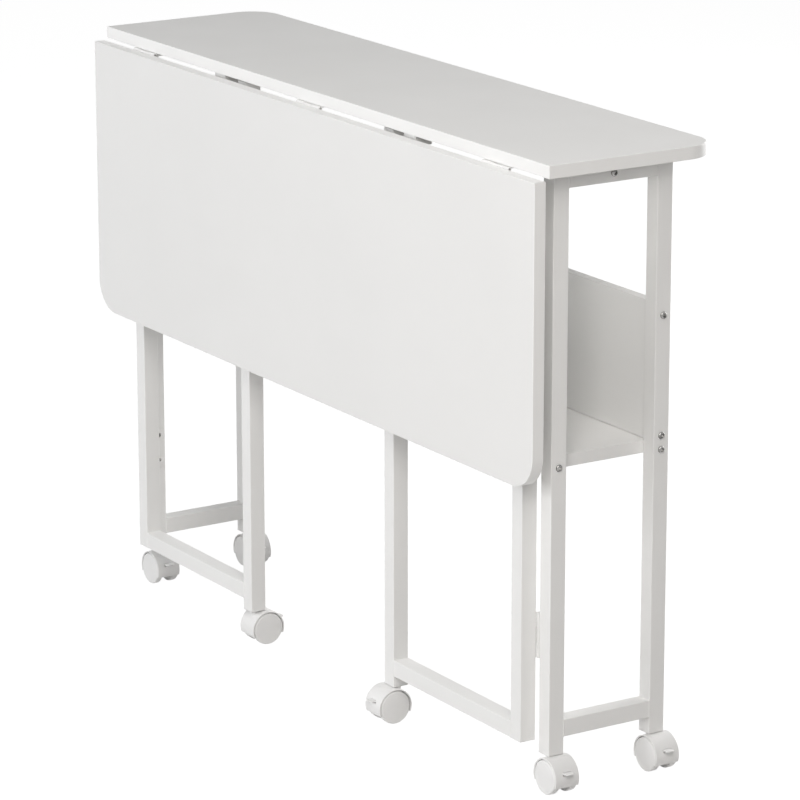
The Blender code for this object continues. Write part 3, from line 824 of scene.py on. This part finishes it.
deselect()
bpy.ops.mesh.primitive_uv_sphere_add(
    segments=DOME_SIDES, ring_count=DOME_SIDES // 2, radius=DOME_RADIUS, location=(0, 0, DOME_BRIM))
bpy.context.object.scale = (1, 1, (DOME_HEIGHT - DOME_BRIM) / DOME_RADIUS)
dome = settle("domed_screw")
pick(dome, "FACE", lambda middle, normal: True)
bpy.ops.mesh.bisect(plane_co=(0, 0, DOME_BRIM), plane_no=(0, 0, 1), clear_inner=True, use_fill=True)
pick(dome, "FACE", faces(ALONG_Z, -1))
bpy.ops.mesh.extrude_region_move(TRANSFORM_OT_translate={"value": (0, 0, -DOME_BRIM)})
start, end = (0, 0, DOME_HEIGHT - SOCKET_DEPTH), (0, 0, DOME_HEIGHT + SOCKET_DEPTH)
carve(dome, rod("socket", start, end, SOCKET_RADIUS, SOCKET_SIDES))
shank = rod("shank", (0, 0, -SHANK_LENGTH), (0, 0, DOME_BRIM / 2), SHANK_RADIUS, SHANK_SIDES)
pick(shank, "FACE", faces(ALONG_Z, -1))
bpy.ops.mesh.region_to_loop()
bpy.ops.mesh.bevel(offset=SHANK_POINT, segments=EDGE_STEPS, affect="EDGES")
smooth(weld(dome, shank), nickel_with_painted_reflections)
for side, sign in (("left", -1), ("right", 1)):
    for place in ("top_rail", "shelf_front", "shelf_rear", "panel_low", "panel_high"):
        node = f"{side}_screw_{place}"
        low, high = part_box(node)
        face = high.x - DOME_HEIGHT if sign > 0 else low.x + DOME_HEIGHT
        there = Matrix.Translation((face, (low.y + high.y) / 2, (low.z + high.z) / 2))
        screw = placed_copy(dome, node + "_domed", there @ Matrix.Rotation(sign * math.pi / 2, 4, "Y"))
        fix(screw, "frame", "chrome", node)
bpy.data.objects.remove(dome)

# %% [markdown]
# ## Catches
# Under the top's front edge a small moulded block beside each gate keeps the gate shut. It is a box
# with soft edges, a shallow groove along its lower face for the gate's rail, and a deep round hole
# for a screw at each end.

# %% Gate catches
CATCH_EDGE = 0.0012
CATCH_GROOVE = 0.0012
CATCH_HOLE = 0.0030
CATCH_HOLE_INSET = 0.0055
CATCH_FLOOR = 0.004

for side in ("left", "right"):
    node = side + "_gate_catch"
    low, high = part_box(node)
    middle = (low + high) / 2
    catch = block(node + "_moulded", low, high)
    modify(catch, "BEVEL", width=CATCH_EDGE, segments=EDGE_STEPS, limit_method="ANGLE")
    groove = block("groove", (low.x - TUBE, middle.y - CATCH_HOLE, low.z - TUBE),
                   (high.x + TUBE, middle.y + CATCH_HOLE, low.z + CATCH_GROOVE))
    holes = [rod("hole", (x, middle.y, low.z - TUBE), (x, middle.y, high.z - CATCH_FLOOR), CATCH_HOLE)
             for x in (low.x + CATCH_HOLE_INSET, high.x - CATCH_HOLE_INSET)]
    fix(smooth(carve(catch, groove, *holes), catch_plastic), "frame", "catch", node)

# %% [markdown]
# ## Casters
# Each caster has two small wheels under one hood. The hood is a barrel with a thin shell over the
# wheels and a thick web between them, which holds the stem, the axle and the brake. It is drawn as
# a flat section, a T, swung once round the axle and cut off level below. The wheels are turned
# discs with a crowned face. The brake is a tab at the back that presses on the treads. One caster
# is modelled with its stem on the Z axis, and then copied six times.

# %% Caster sizes from the frame
swivel = joint_place("right_front_swivel")
axle = joint_place("right_front_roll") - swivel
axle.z = joint_place("right_front_roll").z
hood_low, hood_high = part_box("caster_right_front_hood")
wheel_low, wheel_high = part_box("caster_right_front_wheels")
WHEEL_RADIUS = (wheel_high.z - wheel_low.z) / 2
WHEEL_OUTER = (wheel_high.y - wheel_low.y) / 2
WHEEL_INNER = 0.0074
WHEEL_ROOM = 0.0008
HOOD_HALF = (hood_high.y - hood_low.y) / 2
HOOD_RADIUS = hood_high.x - swivel.x - axle.x
HOOD_HEAD = hood_high.z
HOOD_FOOT = hood_low.z
print("wheel", round(2000 * WHEEL_RADIUS, 1), "mm, hood", round(2000 * HOOD_RADIUS, 1), "mm across")

# %% Hood: section, swing and level cut
WEB_HALF = 0.0070
BORE_RADIUS = 0.0027
RIM_ROUNDING = 0.0008
RIM_STEPS = 4
FOOT_ROUNDING = 0.0004
SWING_STEPS = 96

inner = WHEEL_RADIUS + WHEEL_ROOM
deselect()
bpy.ops.mesh.primitive_plane_add(size=1, location=(axle.x - (inner + HOOD_RADIUS) / 2, 0, axle.z))
bpy.context.object.scale = (HOOD_RADIUS - inner, 2 * HOOD_HALF, 1)
hood = settle("hood")
for edge in (-WEB_HALF, WEB_HALF):
    pick(hood, "FACE", lambda middle, normal: True)
    bpy.ops.mesh.bisect(plane_co=(0, edge, 0), plane_no=(0, 1, 0))
pick(hood, "EDGE", lambda a, b: (
    min(a.x, b.x) > axle.x - inner - TINY and max(abs(a.y), abs(b.y)) < WEB_HALF + TINY))
bpy.ops.mesh.extrude_region_move(TRANSFORM_OT_translate={"value": (inner - BORE_RADIUS, 0, 0)})
pick(hood, "FACE", lambda middle, normal: True)
bpy.ops.mesh.dissolve_faces()
pick(hood, "VERT", lambda point: abs(point.y) > HOOD_HALF - TINY)
bpy.ops.mesh.bevel(offset=RIM_ROUNDING, segments=RIM_STEPS, affect="VERTICES")
bpy.ops.mesh.select_all(action="SELECT")
bpy.ops.mesh.delete(type="ONLY_FACE")
bpy.ops.mesh.select_all(action="SELECT")
bpy.ops.mesh.spin(steps=SWING_STEPS, angle=2 * math.pi, center=axle, axis=(0, -1, 0))
bpy.ops.mesh.select_all(action="SELECT")
bpy.ops.mesh.remove_doubles(threshold=TINY)
bpy.ops.mesh.normals_make_consistent(inside=False)
bpy.ops.mesh.bisect(plane_co=(0, 0, HOOD_FOOT), plane_no=(0, 0, 1), clear_inner=True, use_fill=True)
pick(hood, "EDGE", lambda a, b: max(a.z, b.z) < HOOD_FOOT + TINY)
bpy.ops.mesh.bevel(offset=FOOT_ROUNDING, segments=EDGE_STEPS, affect="EDGES")
deselect()
print("hood shell has", len(hood.data.polygons), "faces")

# %% Hood: collar, stem hole and brake slot
COLLAR_RADIUS = 0.0055
COLLAR_FOOT = 0.028
COLLAR_EDGE = 0.0005
COLLAR_SIDES = 64
STEM_BORE = 0.0042
STEM_BORE_FOOT = 0.0195
brake_low, brake_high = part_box("caster_right_front_brake")
pivot = joint_place("right_front_brake_press") - swivel
pivot.z = joint_place("right_front_brake_press").z
BRAKE_HALF = (brake_high.y - brake_low.y) / 2
BRAKE_TIP = brake_high.x - swivel.x
BRAKE_THICKNESS = 0.0024
BOSS_RADIUS = 0.0020
SLOT_ROOM = 0.0003
SLOT_DROP = 0.0024

collar = rod("collar", (0, 0, COLLAR_FOOT), (0, 0, HOOD_HEAD), COLLAR_RADIUS, COLLAR_SIDES)
pick(collar, "FACE", faces(ALONG_Z, 1))
bpy.ops.mesh.region_to_loop()
bpy.ops.mesh.bevel(offset=COLLAR_EDGE, segments=EDGE_STEPS, affect="EDGES")
bore = rod("bore", (0, 0, STEM_BORE_FOOT), (0, 0, 2 * HOOD_HEAD), STEM_BORE)
slot_half = BRAKE_HALF + SLOT_ROOM
slot_side = Vector((0, slot_half, 0))
boss_room = rod("boss_room", pivot - slot_side, pivot + slot_side, BOSS_RADIUS + SLOT_ROOM)
slot = block("slot", (pivot.x, -slot_half, pivot.z - SLOT_DROP),
             (2 * BRAKE_TIP, slot_half, pivot.z + BRAKE_THICKNESS / 2 + SLOT_ROOM))
carve(weld(hood, collar), bore, boss_room, slot)
smooth(hood, hood_plastic)
print("hood has", len(hood.data.polygons), "faces")

# %% Wheels
DISC_CROWN = 0.0006
TREAD_ROUNDING = 0.0018
TREAD_STEPS = 5
DISC_RIM = 0.0012
DISC_GROOVE = 0.00015
DISC_RINGS = 9
AXLE_RADIUS = 0.0025
WHEEL_SIDES = 96


def make_wheel(side):
    """Models one wheel with a rounded tread and a crowned disc in a fine groove, on one side of the web."""
    outer = side * (WHEEL_OUTER - DISC_CROWN)
    start = Vector((axle.x, side * WHEEL_INNER, axle.z))
    wheel = rod("wheel", start, (axle.x, outer, axle.z), WHEEL_RADIUS, WHEEL_SIDES)
    pick(wheel, "FACE", faces(ALONG_Y))
    bpy.ops.mesh.region_to_loop()
    bpy.ops.mesh.bevel(offset=TREAD_ROUNDING, segments=TREAD_STEPS, affect="EDGES")
    pick(wheel, "FACE", faces(ALONG_Y, side))
    bpy.ops.mesh.inset(thickness=DISC_RIM)
    bpy.ops.mesh.inset(thickness=DISC_GROOVE, depth=-DISC_GROOVE)
    bpy.ops.mesh.inset(thickness=DISC_GROOVE, depth=DISC_GROOVE)
    radius = WHEEL_RADIUS - TREAD_ROUNDING - DISC_RIM - 2 * DISC_GROOVE
    rings = [1 - ring / (DISC_RINGS + 1) for ring in range(DISC_RINGS + 1)]
    for wide, narrow in zip(rings, rings[1:]):
        rise = DISC_CROWN * (wide ** 2 - narrow ** 2)
        bpy.ops.mesh.inset(thickness=radius * (wide - narrow), depth=rise)
    deselect()
    return wheel


shaft_end = Vector((0, WHEEL_INNER + DISC_CROWN, 0))
shaft = rod("axle", axle - shaft_end, axle + shaft_end, AXLE_RADIUS)
wheels = weld(make_wheel(1), make_wheel(-1), shaft)
smooth(wheels, wheel_plastic)
print("wheels have", len(wheels.data.polygons), "faces")

# %% Brake tab
BRAKE_EDGE = 0.0003
BRAKE_CORNER = 0.0032
BRAKE_CORNER_STEPS = 8
BRAKE_TAPER = 0.0012

brake = block(
    "brake", (pivot.x, -BRAKE_HALF, pivot.z - BRAKE_THICKNESS / 2),
    (BRAKE_TIP, BRAKE_HALF, pivot.z + BRAKE_THICKNESS / 2))
pick(brake, "VERT", lambda point: point.x > BRAKE_TIP - TINY and point.z < pivot.z)
bpy.ops.transform.translate(value=(0, 0, BRAKE_TAPER))
pick(brake, "EDGE", lambda a, b: runs(a, b, ALONG_Z) and a.x > BRAKE_TIP - TINY)
bpy.ops.mesh.bevel(offset=BRAKE_CORNER, segments=BRAKE_CORNER_STEPS, affect="EDGES")
modify(brake, "BEVEL", width=BRAKE_EDGE, segments=EDGE_STEPS, limit_method="ANGLE")
boss = rod("boss", (pivot.x, -BRAKE_HALF, pivot.z), (pivot.x, BRAKE_HALF, pivot.z), BOSS_RADIUS)
smooth(weld(brake, boss), brake_plastic)
print("brake has", len(brake.data.polygons), "faces")

# %% Stem with its plug
stem_low, stem_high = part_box("caster_right_front_stem")
STEM_RADIUS = 0.0039
FLANGE = 0.0004
FLANGE_GAP = 0.0003
FLANGE_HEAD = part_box("right_end_frame")[0].z - FLANGE_GAP
FLANGE_EDGE = 0.00012
PLUG_ROOM = 0.0015

half = TUBE / 2
stem = block("stem", (-half, -half, FLANGE_HEAD - FLANGE), (half, half, FLANGE_HEAD))
pick(stem, "EDGE", lambda a, b: runs(a, b, ALONG_Z))
bpy.ops.mesh.bevel(offset=TUBE_ROUNDING, segments=ROUNDING_STEPS, affect="EDGES")
pick(stem, "FACE", faces(ALONG_Z))
bpy.ops.mesh.region_to_loop()
bpy.ops.mesh.bevel(offset=FLANGE_EDGE, segments=FINE_STEPS, affect="EDGES")
half -= PLUG_ROOM
plug = block("plug", (-half, -half, FLANGE_HEAD - FLANGE / 2), (half, half, stem_high.z))
modify(plug, "BEVEL", width=PLUG_ROOM, segments=EDGE_STEPS, limit_method="ANGLE")
shaft = rod("shaft", (0, 0, stem_low.z), (0, 0, FLANGE_HEAD), STEM_RADIUS)
smooth(weld(stem, plug, shaft), stem_plastic)
print("stem has", len(stem.data.polygons), "faces")

# %% Six casters
for side in ("left", "right"):
    for corner in ("front", "rear", "gate"):
        place = f"{side}_{corner}"
        post = joint_place(place + "_swivel")
        back = joint_place(place + "_roll") - post
        spot = Matrix.Translation((post.x, post.y, 0))
        turned = spot @ Matrix.Rotation(math.atan2(back.y, back.x), 4, "Z")
        carrier = place if corner == "gate" else "frame"
        for master, kind, there, body, slot in (
                (stem, "stem", spot, carrier, "caster_stem"),
                (hood, "hood", turned, place + "_caster", "caster_hood"),
                (wheels, "wheels", turned, place + "_wheels", "caster_wheel"),
                (brake, "brake", turned, place + "_brake", "caster_brake")):
            node = f"caster_{place}_{kind}"
            fix(placed_copy(master, node + "_moulded", there), body, slot, node)
for master in (stem, hood, wheels, brake):
    bpy.data.objects.remove(master)

# %% [markdown]
# ## Size
# The finished model must fill the same space as the solids, so the box of the finished model is taken.

# %% The size of the finished model
low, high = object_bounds()
